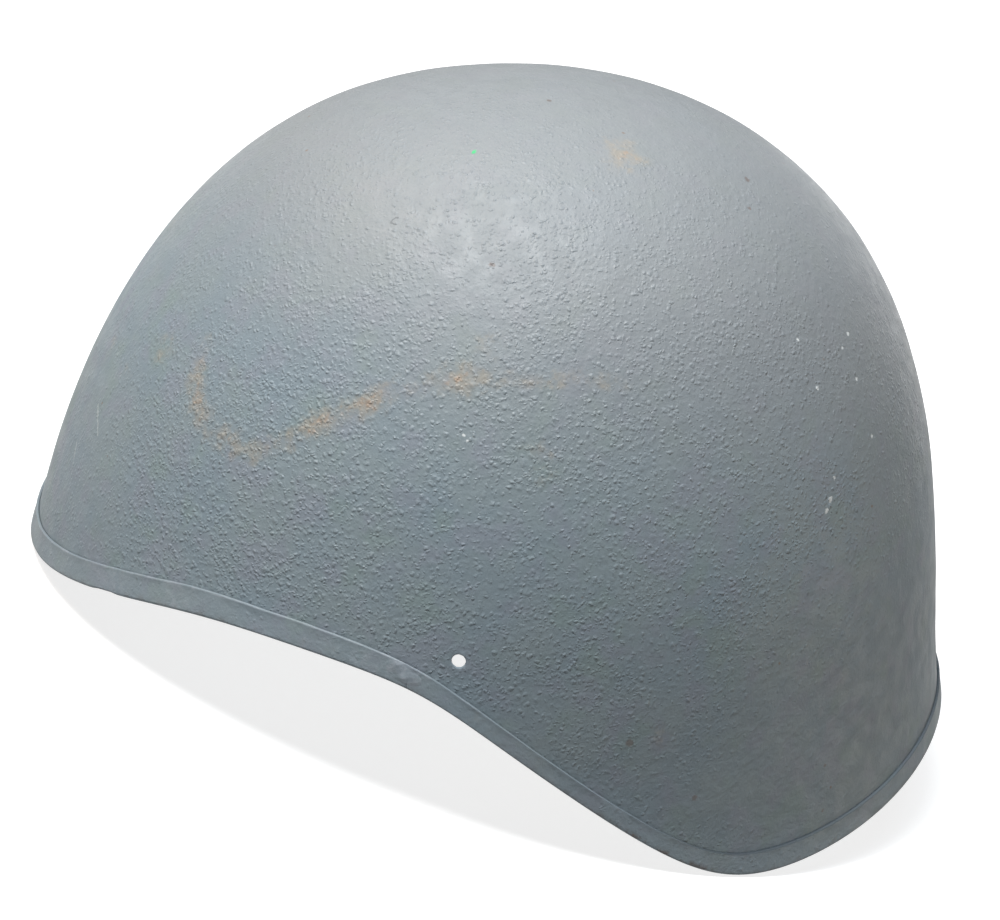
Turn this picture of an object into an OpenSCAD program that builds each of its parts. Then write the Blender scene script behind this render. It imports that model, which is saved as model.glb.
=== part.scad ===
// Radio talker helmet: a deep steel dome with a folded edging strip, sponge pads
// cemented inside it and a chin strap that swings on two riveted hangers.
// The dome is drawn upright as worn, then tipped until it rests on its brow edge
// and its two ear lobes, as it does on a table. Front is -Y, the wearer's left is +X.

/* [Dome] */
// Length of the dome over the steel
shell_length = 312; // [296:1:330]
// Width of the dome over the steel
shell_width = 276; // [262:1:292]
// Height of the crown above the reference plane
crown_height = 150; // [142:1:160]
// Thickness of the steel
shell_t = 1.3; // [1:0.1:1.8]
// Depth below the reference plane at which the wall starts to curve in
wall_drop = 32; // [20:1:45]
// Fullness of the front of the dome, where 2 is an ellipse
front_fullness = 1.5; // [1.4:0.05:1.8]
// Fullness of the rear of the dome
rear_fullness = 2.7; // [2.3:0.05:3]
// Roundness of the shoulder of the dome
shoulder = 2.2; // [2:0.05:2.4]
// Distance that the crown sits behind the middle
crown_shift = 2; // [0:0.5:6]
// Outward flare of the steel at its edge
rim_flare = 1; // [0:0.1:2]
// Height over which the flare fades
flare_reach = 9; // [6:1:14]

/* [Edge] */
// Height of the brow edge above the reference plane
brow_height = 28; // [20:1:32]
// Dip of the brow edge at the middle
brow_dip = 16; // [10:1:18]
// Fall of the brow edge towards the temples, in degrees
brow_fall = 18; // [14:1:20]
// Fall of the edge in front of the ears, in degrees
ear_fall = 48; // [44:1:50]
// Distance ahead of the middle at which the brow edge starts to fall
brow_turn = 90; // [84:1:100]
// Distance ahead of the middle of the kink at the temple
temple_turn = 21; // [16:1:24]
// Distance behind the middle at which the edge levels out
lobe_turn = 64; // [58:1:68]
// Softness of the brow turn
brow_blend = 30; // [20:1:40]
// Softness of the kink at the temple
temple_blend = 18; // [12:1:24]
// Softness of the turn under the ear lobe
lobe_blend = 22; // [16:1:30]
// Rise of the edge at the nape
nape_rise = 9; // [4:1:12]

/* [Edging] */
// Height of the edging strip
edging_h = 7; // [5:0.5:9]
// Thickness of the edging strip
edging_t = 1; // [0.7:0.1:1.4]
// Height of the ridge along the strip's upper edge
ridge_h = 1.4; // [0.8:0.1:2]
// How far the ridge stands out from the strip
ridge_t = 0.3; // [0.1:0.05:0.5]
// Height of the weld patch on the butt joint, above the strip
weld_t = 0.6; // [0.4:0.1:1]
// Length of the weld patch along the edge
weld_length = 12; // [8:1:16]

/* [Holes] */
// Diameter of the hole at each temple
hole_d = 4.6; // [3.5:0.1:6]
// Distance of the hole ahead of the middle
hole_ahead = 11; // [6:0.5:16]
// Height of the hole above the reference plane
hole_height = 9.5; // [6:0.5:14]

/* [Pads] */
// Gap between the pads and the steel, filled by cement
cement_gap = 0.55; // [0.5:0.05:0.8]
// Thickness of the crown pad
crown_pad_t = 28; // [20:1:32]
// Depth of the crown pad's edge below the crown
crown_pad_drop = 25; // [18:1:28]
// Thickness of the front pad
front_pad_t = 32; // [20:1:36]
// Half of the angle that the front pad spans
front_pad_span = 34; // [24:1:38]
// Height of the front pad's lower edge above the reference plane
front_pad_low = 27; // [26:1:34]
// Height of the front pad's upper edge
front_pad_high = 84; // [74:1:90]
// Thickness of the rear pad
rear_pad_t = 32; // [20:1:36]
// Half of the angle that the rear pad spans
rear_pad_span = 34; // [24:1:38]
// Depth of the rear pad's lower edge below the reference plane
rear_pad_low = 34; // [20:1:40]
// Height of the rear pad's upper edge
rear_pad_high = 52; // [40:1:60]
// Thickness of the side pads
side_pad_t = 22; // [14:1:26]
// Half of the angle that a side pad spans
side_pad_span = 24; // [16:1:28]
// Height of the side pads' lower edge
side_pad_low = 36; // [34:1:42]
// Height of the side pads' upper edge
side_pad_high = 90; // [80:1:96]

/* [Strap pivots] */
// Distance of the pivots behind the middle
pivot_back = 10; // [8:1:14]
// Depth of the pivots below the reference plane
pivot_drop = 10; // [8:1:13]
// Distance of the hangers in from the steel
hanger_inset = 9; // [8:0.5:12]
// Diameter of the rivets
rivet_d = 4; // [3:0.1:4.5]
// Running clearance on the diameter of the rivets
rivet_play = 0.16; // [0.1:0.02:0.2]
// Diameter of the rivet heads
rivet_head_d = 8; // [7:0.5:9]
// Thickness of the rivet heads
rivet_head_t = 1.8; // [1.2:0.1:2.2]
// Thickness of the lugs
lug_t = 1.5; // [1:0.1:2]
// Width of the lugs
lug_w = 14; // [12:0.5:15]
// Height of the lug's welded foot
lug_foot = 16; // [12:1:20]
// Gap under the foot, filled by its welds
weld_gap = 0.45; // [0.4:0.05:0.7]

/* [Chin strap] */
// Width of the webbing
strap_w = 20; // [16:1:22]
// Thickness of the webbing
strap_t = 2; // [1.5:0.1:2.2]
// Length of the strap loop below the pivots
loop_depth = 122; // [116:1:126]
// Radius of the strap under the chin
chin_r = 62; // [54:1:66]
// Thickness of the hangers
hanger_t = 1.5; // [1.2:0.1:2]
// Distance from the rivet to the middle of the hanger's lower bar
hanger_drop = 22; // [21:1:26]
// Width of the hanger's lower bar
bar_w = 5; // [4:0.5:6]
// Clearance round the parts of the strap
play = 0.3; // [0.2:0.05:0.4]
// Distance from the hanger's bar to the buckle's bar along the strap
chape_length = 52; // [50:1:56]
// Length of the free end past the buckle's bar
tail_length = 36; // [32:1:38]

/* [Buckle] */
// Thickness of the buckle's plate
plate_t = 1.2; // [1:0.1:1.5]
// Length of the buckle's plate
plate_length = 28; // [26:1:30]
// Thickness of the buckle's side cheeks
cheek_t = 1.5; // [1.2:0.1:2]
// Diameter of the buckle's hinge pin
pin_d = 2.5; // [2:0.1:3]
// Length of the buckle's lever
lever_length = 24; // [18:1:26]
// Thickness of the lever
lever_t = 1.4; // [1:0.1:1.6]
// Length of the keeper along the strap
keeper_length = 9; // [6:1:10]
// Thickness of the keeper
keeper_t = 1; // [0.8:0.1:1.2]
// Length of the metal tip
tip_length = 9; // [7:1:11]
// Thickness of the metal tip's skin
tip_t = 0.5; // [0.4:0.1:0.8]

/* [Hidden] */
$fn = 48;

half_l = shell_length / 2;
half_w = shell_width / 2;
dome_span = crown_height + wall_drop;

// Stations round the dome, counted from the front towards the wearer's left
stations = 72;
step = 360 / stations;
// Rows of the dome between the edging and the crown
rows = 18;
// Station at which the two lengths of edging meet
joint_station = 16;

paint = [0.47, 0.52, 0.56];
sponge = [0.16, 0.15, 0.14];
steel = [0.55, 0.56, 0.56];
webbing = [0.45, 0.44, 0.36];
brass = [0.62, 0.52, 0.3];

// Surface of the dome

function fullness(t) = (front_fullness + rear_fullness) / 2 - (rear_fullness - front_fullness) / 2 * cos(t);
function narrowing(z, f) = pow(1 - pow(max(0, min(1, (z + wall_drop) / dome_span)), f), 1 / shoulder);
function dome(z, t) = narrowing(z, fullness(t)) / narrowing(0, fullness(t));

// A bend that is flat before x = 0 and climbs at a slope of one after it
function bend(x, soft) = (x + sqrt(x * x + soft * soft)) / 2;

// Height of the steel's edge, seen from the side and the same on left and right
function rim(t) =
    let (y = -half_l * cos(t), brow = tan(brow_fall), ear = tan(ear_fall))
    brow_height - brow * bend(y + brow_turn, brow_blend)
        - (ear - brow) * bend(y + temple_turn, temple_blend)
        + ear * bend(y - lobe_turn, lobe_blend)
        - brow_dip * pow(max(0, cos(t)), 3)
        + nape_rise * pow(max(0, -cos(t)), 4);

function outer(t, z) =
    let (k = dome(z, t), e = rim_flare * exp(-(z - rim(t)) / flare_reach))
    [(half_w * k + e) * sin(t), -(half_l * k + e) * cos(t) + crown_shift * z / crown_height, z];

function unit(v) = v / norm(v);
function normal(t, z) =
    let (a = outer(t + 0.5, z) - outer(t - 0.5, z),
        b = outer(t, min(z + 0.5, crown_height)) - outer(t, z - 0.5))
    unit(cross(a, b));
// Point at a depth d under the outside of the steel
function under(t, z, d) = outer(t, z) - d * normal(t, z);

// Tipping the helmet on to the table: the brow edge and the ear lobes come level

edging_bead = edging_t * 0.8;
feet = [for (i = [0 : stations - 1], j = [4, 5]) strip_section(i * step)[j]];
function tipped(p, a) = [p.x, p.y * cos(a) - p.z * sin(a), p.y * sin(a) + p.z * cos(a)];
function front_low(a) = min([for (p = feet) if (p.y < 0) tipped(p, a).z]);
function rear_low(a) = min([for (p = feet) if (p.y > 0) tipped(p, a).z]);
function level(lo, hi, n) =
    let (mid = (lo + hi) / 2)
    n == 0 ? mid : front_low(mid) > rear_low(mid) ? level(mid, hi, n - 1) : level(lo, mid, n - 1);
rest_tilt = level(0, 45, 30);
outline = [for (i = [0 : stations - 1], z = [rim(i * step) : 8 : crown_height - 1])
    tipped(outer(i * step, z), rest_tilt).y];
rest_y = -(min(outline) + max(outline)) / 2;
rest_z = -front_low(rest_tilt);

module rest() {
    translate([0, rest_y, rest_z]) rotate([rest_tilt, 0, 0]) children();
}

// Solids built from rings of points

// Side faces between neighbouring stations of m points each
function side_faces(n, m, closed, flip) = [
    for (i = [0 : n - 2 + (closed ? 1 : 0)], j = [0 : m - 2], half = [0, 1])
    let (a = i * m + j, b = ((i + 1) % n) * m + j)
    flip ? (half == 0 ? [a, b + 1, a + 1] : [a, b, b + 1])
        : (half == 0 ? [a, a + 1, b + 1] : [a, b + 1, b])
];

// A bowl closed at two poles: each ring runs from the inner pole down and up to the outer pole
module bowl(rings, inner_pole, outer_pole) {
    n = len(rings);
    m = len(rings[0]);
    points = concat([for (r = rings, p = r) p], [inner_pole, outer_pole]);
    fans = [for (i = [0 : n - 1], side = [0, 1])
        let (a = i * m, b = ((i + 1) % n) * m)
        side == 0 ? [n * m, a, b] : [a + m - 1, n * m + 1, b + m - 1]];
    polyhedron(points, concat(side_faces(n, m, true, false), fans), convexity = 6);
}

// A slab between two grids of points, the second one underneath
module slab(top, under_side) {
    n = len(top);
    m = len(top[0]);
    rings = [for (i = [0 : n - 1])
        concat(top[i], [for (j = [m - 1 : -1 : 0]) under_side[i][j]], [top[i][0]])];
    k = 2 * m + 1;
    caps = [for (i = [0, n - 1], j = [0 : m - 2], half = [0, 1])
        let (a = i * k + j, b = i * k + j + 1, c = i * k + 2 * m - 2 - j, d = i * k + 2 * m - 1 - j)
        i == 0 ? (half == 0 ? [a, d, c] : [a, c, b]) : (half == 0 ? [a, c, d] : [a, b, c])];
    joined(k, [for (r = rings, p = r) p], concat(side_faces(n, k, false, false), caps));
}

// The last point of each ring repeats the first, so its faces are sent to the first
module joined(k, points, faces) {
    polyhedron(points, [for (f = faces) [for (v = f) v % k == k - 1 ? v - (k - 1) : v]], convexity = 6);
}

// Dome

function row_height(t, j) =
    j == 0 ? rim(t) : let (low = rim(t) + edging_h) low + (crown_height - low) * sin(90 * (j - 1) / rows);

module shell() {
    rings = [for (i = [0 : stations - 1]) let (t = i * step) concat(
        [for (j = [rows : -1 : 0]) under(t, row_height(t, j), shell_t)],
        [for (j = [0 : rows]) outer(t, row_height(t, j))])];
    crown = [0, crown_shift, crown_height];
    color(paint) rest() difference() {
        bowl(rings, crown - [0, 0, shell_t], crown);
        translate([0, -hole_ahead, hole_height]) rotate([0, 90, 0])
            cylinder(h = 2 * shell_width, d = hole_d, center = true);
    }
}

// Edging strip: a folded section that hugs the steel inside, under and outside, with a ridge
// along its upper edge. The last point closes the section on the first.

function strip_section(t) =
    let (low = rim(t), top = low + edging_h, n0 = normal(t, low), n1 = normal(t, top),
        drop = [0, 0, edging_bead])
    [
        outer(t, top) + edging_t * 0.7 * n1,
        under(t, top - ridge_h / 2, -edging_t - ridge_t),
        under(t, top - ridge_h, -edging_t),
        outer(t, low) + edging_t * n0,
        outer(t, low) + edging_t / 2 * n0 - drop,
        under(t, low, shell_t) - edging_t / 2 * n0 - drop,
        under(t, low, shell_t) - edging_t * n0,
        under(t, top, shell_t) - edging_t * n1,
        under(t, top, shell_t),
        under(t, low, shell_t),
        outer(t, low),
        outer(t, top),
        outer(t, top) + edging_t * 0.7 * n1,
    ];

module strip(first, last) {
    n = last - first + 1;
    rings = [for (i = [first : last]) strip_section(i * step)];
    k = len(rings[0]);
    // The end face, as triangles over the section's points
    end = [[0, 1, 2], [0, 2, 11], [2, 10, 11], [2, 3, 10], [3, 4, 10],
        [4, 5, 10], [5, 9, 10], [5, 6, 9], [6, 7, 9], [7, 8, 9]];
    caps = concat([for (f = end) f], [for (f = end) [for (v = [2, 1, 0]) f[v] + (n - 1) * k]]);
    joined(k, [for (r = rings, p = r) p], concat(side_faces(n, k, false, true), caps));
}

module front_edging() {
    color(paint) rest() strip(-joint_station, joint_station);
}

module rear_edging() {
    color(paint) rest() strip(joint_station, stations - joint_station);
}

// Weld patch over the butt joint of the strip, below the ridge and thinner towards its edges
module weld_patch(t) {
    span = weld_length / half_l * 90 / PI;
    cells = 4;
    bed = edging_t + 0.03;
    margin = edging_h / 10;
    function crest(u) = 1 - 0.75 * pow(abs(2 * u / cells - 1), 2);
    function at(u, v, d) =
        let (a = t + span * (2 * u / cells - 1), high = edging_h - ridge_h - 2 * margin)
        under(a, rim(a) + margin + high * v / cells, -d);
    slab([for (u = [0 : cells]) [for (v = [0 : cells]) at(u, v, bed + weld_t * crest(u) * crest(v))]],
        [for (u = [0 : cells]) [for (v = [0 : cells]) at(u, v, bed)]]);
}

module edging_welds() {
    color(paint) rest() {
        weld_patch(joint_station * step);
        weld_patch(-joint_station * step);
    }
}

// Pads

// Swell of a pad's face at r from the middle (0) to the edge (1): a full crown, drawn in at the sides
function swell(r) = 0.4 + 0.6 * sqrt(1 - pow(min(1, r), 4));

// Pad on the wall, from angle mid - span to mid + span and from height low to high
module wall_pad(mid, span, low, high, thickness) {
    cells = 12;
    bed = shell_t + cement_gap;
    // Share of the way from the middle of a square to its edge, closer towards the edge
    function share(i) = sin(90 * (2 * i / cells - 1));
    function at(u, v, d) = under(mid + span * u, (low + high) / 2 + (high - low) / 2 * v, d);
    // The square of cells is drawn in to an outline with round corners
    function grid(face) = [for (i = [0 : cells]) [for (j = [0 : cells])
        let (u = share(i), v = share(j), r = max(abs(u), abs(v)), p = pow(pow(u, 4) + pow(v, 4), 1 / 4),
            k = p > 0 ? r / p : 1)
        at(u * k, v * k, bed + (face ? thickness * swell(r) : 0))]];
    slab(grid(false), grid(true));
}

module crown_pad() {
    bed = shell_t + cement_gap;
    turns = stations / 2;
    cells = 7;
    crown = [0, crown_shift, crown_height - bed];
    function height(j) = crown_height - crown_pad_drop * (1 - sin(90 * j / cells));
    function depth(j) = bed + crown_pad_t * swell(1 - j / cells);
    rings = [for (i = [0 : turns - 1]) let (t = 2 * i * step) concat(
        [for (j = [cells - 1 : -1 : 0]) under(t, height(j), depth(j))],
        [for (j = [0 : cells - 1]) under(t, height(j), bed)])];
    color(sponge) rest() bowl(rings, crown - [0, 0, crown_pad_t], crown);
}

module front_pad() {
    color(sponge) rest() wall_pad(0, front_pad_span, front_pad_low, front_pad_high, front_pad_t);
}

module rear_pad() {
    color(sponge) rest() wall_pad(180, rear_pad_span, -rear_pad_low, rear_pad_high, rear_pad_t);
}

module side_pad(mid) {
    color(sponge) rest() wall_pad(mid, side_pad_span, side_pad_low, side_pad_high, side_pad_t);
}

module left_pad() side_pad(90);
module right_pad() side_pad(-90);

// Strap pivots, one over each ear

// Inside of the steel at the rear edge of the lug, less the gap under its foot
lug_end = 90 + asin((pivot_back + lug_w / 2) / half_l);
function seat_x(z) = under(lug_end, z, shell_t).x - weld_gap;
hang_x = seat_x(-pivot_drop) - hanger_inset;
flange_x = hang_x + hanger_t / 2 + play;
// Metal round the rivet head, on the hanger and as room under the lug's shelf
head_margin = 4;
hanger_r = rivet_head_d / 2 + head_margin;
shelf_z = hanger_r + head_margin - pivot_drop;

// Folded lug: a flange for the rivet, a shelf out to the wall and a foot welded to it
module lug() {
    fold = shelf_z + lug_t;
    high = shelf_z + lug_foot;
    low = -pivot_drop - hanger_r + 1;
    color(steel) rest() difference() {
        translate([0, pivot_back + lug_w / 2, 0]) rotate([90, 0, 0]) linear_extrude(lug_w) polygon([
            [flange_x, low],
            [flange_x + lug_t, low],
            [flange_x + lug_t, shelf_z],
            [seat_x(shelf_z), shelf_z],
            [seat_x(high), high],
            [seat_x(high) - lug_t, high],
            [seat_x(fold) - lug_t, fold],
            [flange_x, fold],
        ]);
        translate([hang_x, pivot_back, -pivot_drop]) rotate([0, 90, 0]) cylinder(h = 4 * lug_t, d = rivet_d);
    }
}

// Rivet with a low round head at each end
module rivet() {
    r = rivet_head_d / 2;
    inner = hang_x - hanger_t / 2 - play;
    outer_face = flange_x + lug_t;
    color(steel) rest() translate([0, pivot_back, -pivot_drop]) rotate([0, 90, 0]) rotate_extrude() polygon([
        [0, inner - rivet_head_t],
        [r * 0.6, inner - rivet_head_t * 0.8],
        [r, inner - rivet_head_t * 0.2],
        [r, inner],
        [rivet_d / 2, inner],
        [rivet_d / 2, outer_face],
        [r, outer_face],
        [r, outer_face + rivet_head_t * 0.2],
        [r * 0.6, outer_face + rivet_head_t * 0.8],
        [0, outer_face + rivet_head_t],
    ]);
}

module left_lug() lug();
module right_lug() mirror([1, 0, 0]) lug();
module left_rivet() rivet();
module right_rivet() mirror([1, 0, 0]) rivet();

// Chin strap: it lies inside the helmet with the chin end just clear of the table.
// In the loop's own frame X runs across, Y from the pivots to the chin and Z over the webbing.

pivot = tipped([0, pivot_back, -pivot_drop], rest_tilt) + [0, rest_y, rest_z];
loop_reach = norm([loop_depth + strap_t / 2, strap_w / 2]);
loop_angle = asin((pivot.z - 2 * play) / loop_reach) - atan2(strap_w / 2, loop_depth + strap_t / 2);

module loop() {
    translate(pivot) rotate([-loop_angle, 0, 0]) children();
}

module across(width) {
    for (i = [0 : $children - 1]) linear_extrude(width, center = true) children(i);
}

// The straight leg runs from the hanger's bar to a tangent of the chin arc
chin_y = loop_depth - chin_r;
leg_start = [hang_x, hanger_drop + bar_w / 2 + play + strap_t / 2];
leg_span = norm([leg_start.x, chin_y - leg_start.y]);
leg_length = sqrt(leg_span * leg_span - chin_r * chin_r);
leg_angle = atan2(chin_y - leg_start.y, -leg_start.x) - asin(chin_r / leg_span);

// Frame of the left leg: X runs down the strap and Y towards the face
module leg() {
    translate(leg_start) rotate(leg_angle) children();
}

// Outline of a rectangle of the given half sizes whose corners turn with radius r in short flats
function rounded(half, r) = [for (corner = [0 : 3], i = [0 : 4])
    let (a = 90 * corner + 22.5 * i, sx = corner == 0 || corner == 3 ? 1 : -1, sy = corner < 2 ? 1 : -1)
    [sx * (half.x - r) + r * cos(a), sy * (half.y - r) + r * sin(a)]];

// Webbing folded round a flat bar of the given half sizes
module fold(half) {
    gap = half + [play, play];
    difference() {
        polygon(rounded(gap + [strap_t, strap_t], strap_t + play));
        polygon(rounded(gap, play));
    }
}

function side_point(path, i, d) =
    let (a = unit(path[max(i, 1)] - path[max(i, 1) - 1]),
        b = unit(path[min(i + 1, len(path) - 1)] - path[min(i, len(path) - 2)]),
        m = unit([-a.y - b.y, a.x + b.x]))
    path[i] + m * d / (m * [-a.y, a.x]);
// Outline of a strip of thickness t along a path of straight runs
function ribbon(path, t) = concat(
    [for (i = [0 : len(path) - 1]) side_point(path, i, t / 2)],
    [for (i = [len(path) - 1 : -1 : 0]) side_point(path, i, -t / 2)]);

module hanger() {
    top_w = 2 * hanger_r;
    rail = 1.7;
    width = strap_w + 2 * play + 2 * rail;
    slot = strap_t + 2 * play;
    bar_top = hanger_drop - bar_w / 2;
    neck = bar_top - slot - 2 * rail;
    color(brass) loop() translate([hang_x, 0, 0]) rotate([90, 0, 90]) linear_extrude(hanger_t, center = true)
        difference() {
            union() {
                circle(hanger_r);
                polygon([
                    [0, -top_w / 2], [neck, -width / 2], [hanger_drop + bar_w / 2, -width / 2],
                    [hanger_drop + bar_w / 2, width / 2], [neck, width / 2], [0, top_w / 2]]);
            }
            circle(d = rivet_d + rivet_play);
            translate([bar_top - slot / 2, 0]) square([slot, strap_w + 2 * play], center = true);
        }
}

module left_hanger() hanger();
module right_hanger() mirror([1, 0, 0]) hanger();

// Depth of the chape's middle, under the long half of the strap
chape_y = strap_t * 1.5 + 2 * play + plate_t / 2;
buckle_bar = 4;
tail_x = chape_length - tail_length;

// Folded and sewn-on webbing is drawn in by this much at each side
selvedge = 0.1;
folded_w = strap_w - 2 * selvedge;

module left_strap() {
    path = [[strap_t * 0.6, 0], [tail_x - 2, chape_y], [chape_length - buckle_bar, chape_y]];
    color(webbing) loop() {
        translate([hang_x, hanger_drop]) across(folded_w) fold([hanger_t / 2, bar_w / 2]);
        leg() {
            across(strap_w) polygon(ribbon(path, 2 * strap_t));
            translate([chape_length, chape_y]) across(folded_w) fold([buckle_bar / 2, plate_t / 2]);
        }
    }
}

// Long half: from its free end in the buckle down the left leg, round the chin and up the right leg
module right_strap() {
    sewn = 30;
    turns = 14;
    chin = [for (i = [0 : turns])
        let (a = leg_angle - 90 + 2 * (180 - leg_angle) * i / turns)
        [chin_r * cos(a), chin_y + chin_r * sin(a)]];
    free_end = leg_start + tail_x * [cos(leg_angle), sin(leg_angle)];
    color(webbing) loop() {
        across(strap_w) polygon(ribbon(concat([free_end], chin, [[-leg_start.x, leg_start.y]]), strap_t));
        mirror([1, 0, 0]) {
            translate([hang_x, hanger_drop]) across(folded_w) fold([hanger_t / 2, bar_w / 2]);
            leg() across(folded_w - 2 * selvedge)
                translate([1.5 * strap_t, 0]) square([sewn, 1.5 * strap_t]);
        }
    }
}

module strap_tip() {
    color(brass) loop() leg() difference() {
        across(strap_w + 2 * tip_t) translate([tail_x - tip_t, -strap_t / 2 - tip_t])
            square([tip_length + tip_t, strap_t + 2 * tip_t]);
        across(strap_w) translate([tail_x, -strap_t / 2]) square([leg_length, strap_t]);
    }
}

// Keeper: a flat loop round the tail and the chape
module strap_keeper() {
    inside = [-strap_t / 2 - play, chape_y + strap_t + play];
    middle = (tail_x + tip_length + pin_x - lever_length) / 2;
    color(brass) loop() leg() difference() {
        across(strap_w + 2 * play + 2 * keeper_t)
            translate([middle - keeper_length / 2, inside[0] - keeper_t])
                square([keeper_length, inside[1] - inside[0] + 2 * keeper_t]);
        across(strap_w + 2 * play) translate([middle - keeper_length, inside[0]])
            square([2 * keeper_length, inside[1] - inside[0]]);
    }
}

// Buckle: a slotted plate with cheeks, a pin and a cam lever that clamps the long half

plate_x = chape_length - buckle_bar / 2;
plate_w = strap_w + 2 * play + 2 * cheek_t;
cheek_length = 14;
cheek_x = plate_x + plate_length - cheek_length - 2;
pin_x = cheek_x + cheek_length / 2;
pin_y = -strap_t / 2 - 3.6;
boss_r = pin_d / 2 + 1.8;

module buckle_frame() {
    slot = strap_t + 2 * play;
    anvil = chape_y - plate_t / 2;
    color(brass) loop() leg() difference() {
        union() {
            across(plate_w) {
                translate([plate_x, chape_y - plate_t / 2]) square([plate_length, plate_t]);
                translate([cheek_x, strap_t / 2 + play]) square([cheek_length, anvil - strap_t / 2]);
            }
            for (side = [-1, 1])
                translate([0, 0, side * (plate_w - cheek_t) / 2]) across(cheek_t) {
                    translate([pin_x, pin_y]) circle(boss_r);
                    polygon([
                        [cheek_x, chape_y], [cheek_x, 0], [pin_x - boss_r, pin_y],
                        [pin_x + boss_r, pin_y], [cheek_x + cheek_length, 0],
                        [cheek_x + cheek_length, chape_y]]);
                }
        }
        across(strap_w + 2 * play) translate([plate_x + buckle_bar, chape_y - plate_t])
            square([slot, 2 * plate_t]);
        across(2 * plate_w) translate([pin_x, pin_y]) circle(d = pin_d);
    }
}

module buckle_pin() {
    color(brass) loop() leg() translate([pin_x, pin_y]) across(plate_w + 1) circle(d = pin_d);
}

module buckle_lever() {
    barrel = pin_d / 2 + 1.4;
    nose = -strap_t / 2 - play - pin_y;
    thumb_r = 0.8 * lever_t;
    arm_low = barrel - 1.5 * lever_t;
    color(brass) loop() leg() translate([pin_x, pin_y]) difference() {
        across(strap_w) {
            circle(barrel);
            polygon([[-barrel, 0], [-0.8, nose], [0.8, nose], [barrel, 0]]);
            translate([-lever_length, arm_low]) square([lever_length, lever_t]);
            translate([-lever_length, arm_low + lever_t / 2]) circle(thumb_r);
        }
        across(2 * strap_w) circle(d = pin_d + rivet_play);
    }
}

shell();
front_edging();
rear_edging();
edging_welds();
crown_pad();
front_pad();
rear_pad();
left_pad();
right_pad();
left_lug();
right_lug();
left_rivet();
right_rivet();
left_hanger();
right_hanger();
left_strap();
right_strap();
buckle_frame();
buckle_pin();
buckle_lever();
strap_keeper();
strap_tip();
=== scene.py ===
from math import cos, exp, pi, radians, sin, tan
import bpy
import bmesh
import numpy as np
from mathutils import Matrix, Vector


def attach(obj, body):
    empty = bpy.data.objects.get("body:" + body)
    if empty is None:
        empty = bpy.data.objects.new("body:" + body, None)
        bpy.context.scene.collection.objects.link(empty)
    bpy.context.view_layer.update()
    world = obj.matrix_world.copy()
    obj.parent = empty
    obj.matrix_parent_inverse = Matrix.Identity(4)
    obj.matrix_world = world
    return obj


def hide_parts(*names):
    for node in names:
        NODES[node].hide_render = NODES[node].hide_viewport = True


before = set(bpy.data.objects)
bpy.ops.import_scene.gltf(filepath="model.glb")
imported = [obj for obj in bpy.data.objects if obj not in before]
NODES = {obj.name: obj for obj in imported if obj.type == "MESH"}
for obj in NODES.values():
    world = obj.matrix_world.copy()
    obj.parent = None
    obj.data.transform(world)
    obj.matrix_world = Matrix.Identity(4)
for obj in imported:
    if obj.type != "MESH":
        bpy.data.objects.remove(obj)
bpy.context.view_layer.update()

scene = bpy.context.scene

# ---------------- the dome, in millimetres, upright as worn
# t is the angle round the dome from the front towards the wearer's left,
# z is the height over the reference plane.
HALF_L, HALF_W, CROWN, DROP, CROWN_SHIFT = 156.0, 138.0, 150.0, 32.0, 2.0
STEEL, STRIP_H = 1.3, 7.0
HOLE_R, HOLE_AHEAD, HOLE_HEIGHT = 2.3, 11.0, 9.5
TILT, REST = radians(22.3158), np.array([0.0, -14.2704, 48.8683])
JOINT_T = 80.0


def cosd(a):
    return np.cos(np.radians(a))


def sind(a):
    return np.sin(np.radians(a))


def bend(x, soft):
    """0 below x = 0 and x above it, rounded over about that length."""
    return (x + np.sqrt(x * x + soft * soft)) / 2


def smooth(x, lo, hi):
    """0 up to lo and 1 from hi on, in a smooth step."""
    s = np.clip((x - lo) / (hi - lo), 0, 1)
    return s * s * (3 - 2 * s)


def narrowing(z, f):
    return (1 - np.clip((z + DROP) / (CROWN + DROP), 0, 1) ** f) ** (1 / 2.2)


def dome(z, t):
    """Half width at height z as a share of that at z = 0, fuller at the rear than at the front."""
    f = 2.1 - 0.6 * cosd(t)
    return narrowing(z, f) / narrowing(0 * z, f)


def rim(t):
    """Height of the edge: low at the brow, falling from the temples to under the ears, up at the nape."""
    y = -HALF_L * cosd(t)
    brow, ear = tan(radians(18)), tan(radians(48))
    return (28 - brow * bend(y + 90, 30) - (ear - brow) * bend(y + 21, 18) + ear * bend(y - 64, 22)
            - 16 * np.maximum(0, cosd(t)) ** 3 + 9 * np.maximum(0, -cosd(t)) ** 4)


def outer(t, z):
    """Point of the steel's outside, with the flare near the edge."""
    t, z = np.broadcast_arrays(np.asarray(t, float), np.asarray(z, float))
    k = dome(z, t)
    e = np.exp(-(z - rim(t)) / 9)
    x, y = (HALF_W * k + e) * sind(t), -(HALF_L * k + e) * cosd(t) + CROWN_SHIFT * z / CROWN
    return np.stack([x, y, z], -1)


def normal(t, z):
    a = outer(t + 0.5, z) - outer(t - 0.5, z)
    b = outer(t, np.minimum(z + 0.5, CROWN)) - outer(t, z - 0.5)
    n = np.cross(a, b)
    return n / np.maximum(np.linalg.norm(n, axis=-1, keepdims=True), 1e-9)


def under(t, z, d):
    """Point at depth d under the steel's outside."""
    d = np.asarray(d, float)
    return outer(t, z) - d[..., None] * normal(t, z)


def turned(p, angle):
    """Points with their last two coordinates turned by the angle."""
    *first, a, b = np.moveaxis(np.asarray(p, float), -1, 0)
    c, s = cos(angle), sin(angle)
    return np.stack([*first, a * c - b * s, a * s + b * c], -1)


def rest(p):
    """Upright millimetres to the row frame's metres."""
    return (turned(p, TILT) + REST) / 1000


# ---------------- noise on points, seeded
TABLE = np.random.default_rng(11).random(8192) * 2 - 1


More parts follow.
